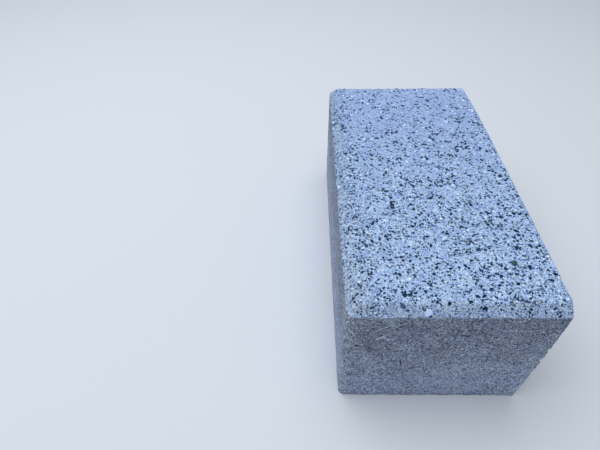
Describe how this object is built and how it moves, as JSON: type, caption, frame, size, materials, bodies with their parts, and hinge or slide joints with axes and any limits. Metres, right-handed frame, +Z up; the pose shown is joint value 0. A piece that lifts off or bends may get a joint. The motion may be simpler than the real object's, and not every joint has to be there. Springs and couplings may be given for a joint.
{
  "type": "concrete paving stone",
  "caption": "Rectangular pressed concrete paving stone, chamfered round its speckled wearing face on the moulded sides and square-edged along its parted long side.",
  "frame": {"origin": "middle of the stone's box at the bed, the face that it lies on", "axes": "+Y along the stone's length, +Z up to the wearing face, +X from the moulded long side to the parted long side"},
  "size_m": [0.0978, 0.197, 0.08],
  "materials": {
    "concrete": "matte"
  },
  "bodies": {
    "root": {"paving_stone": "concrete"}
  },
  "joints": []
}
